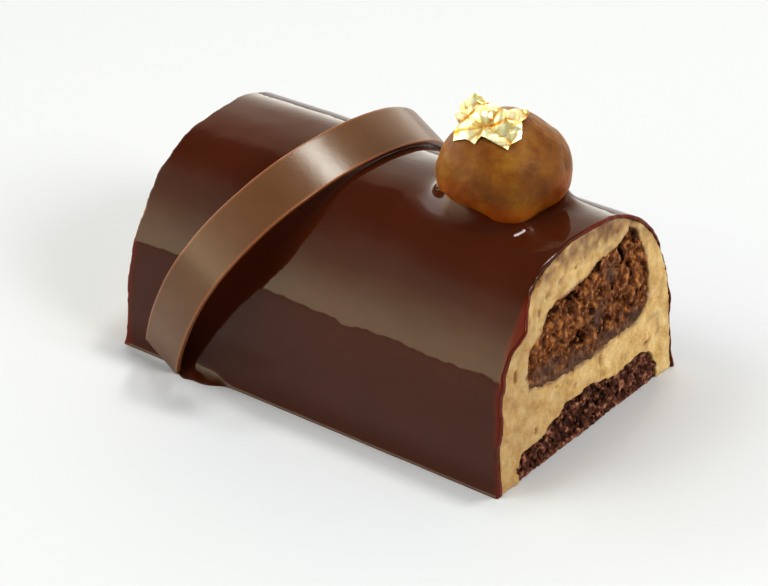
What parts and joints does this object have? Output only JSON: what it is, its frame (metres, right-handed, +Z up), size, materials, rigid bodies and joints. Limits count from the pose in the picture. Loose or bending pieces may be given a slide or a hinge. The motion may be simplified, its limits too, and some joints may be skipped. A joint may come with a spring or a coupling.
{
  "type": "yule log cake",
  "caption": "Individual yule log cake with a mirror glaze, cut at both ends to show mousse, sponge and a crunchy base, under a chocolate arch with a candied chestnut.",
  "frame": {"origin": "middle of the flat underside, halfway between the two cuts and under the ridge", "axes": "+X along the log towards the cut next to the chestnut, +Y across the log away from the side where the arch's shown leg stands, +Z up"},
  "size_m": [0.0943, 0.0719, 0.0632],
  "materials": {
    "glaze": "mirror-smooth dark chocolate glaze",
    "mousse": "set mousse with fine pores, cut face",
    "sponge": "torn open crumb",
    "crunchy_base": "packed crisp crumbs",
    "chocolate": "satin milk chocolate",
    "chestnut": "candied, syrup-wet",
    "gold_leaf": "crumpled bright gold leaf"
  },
  "bodies": {
    "root": {"glaze": "glaze", "mousse": "mousse", "sponge": "sponge", "crunchy_base": "crunchy_base", "chocolate_arch": "chocolate", "chestnut": "chestnut", "gold_leaf": "gold_leaf"}
  },
  "joints": []
}
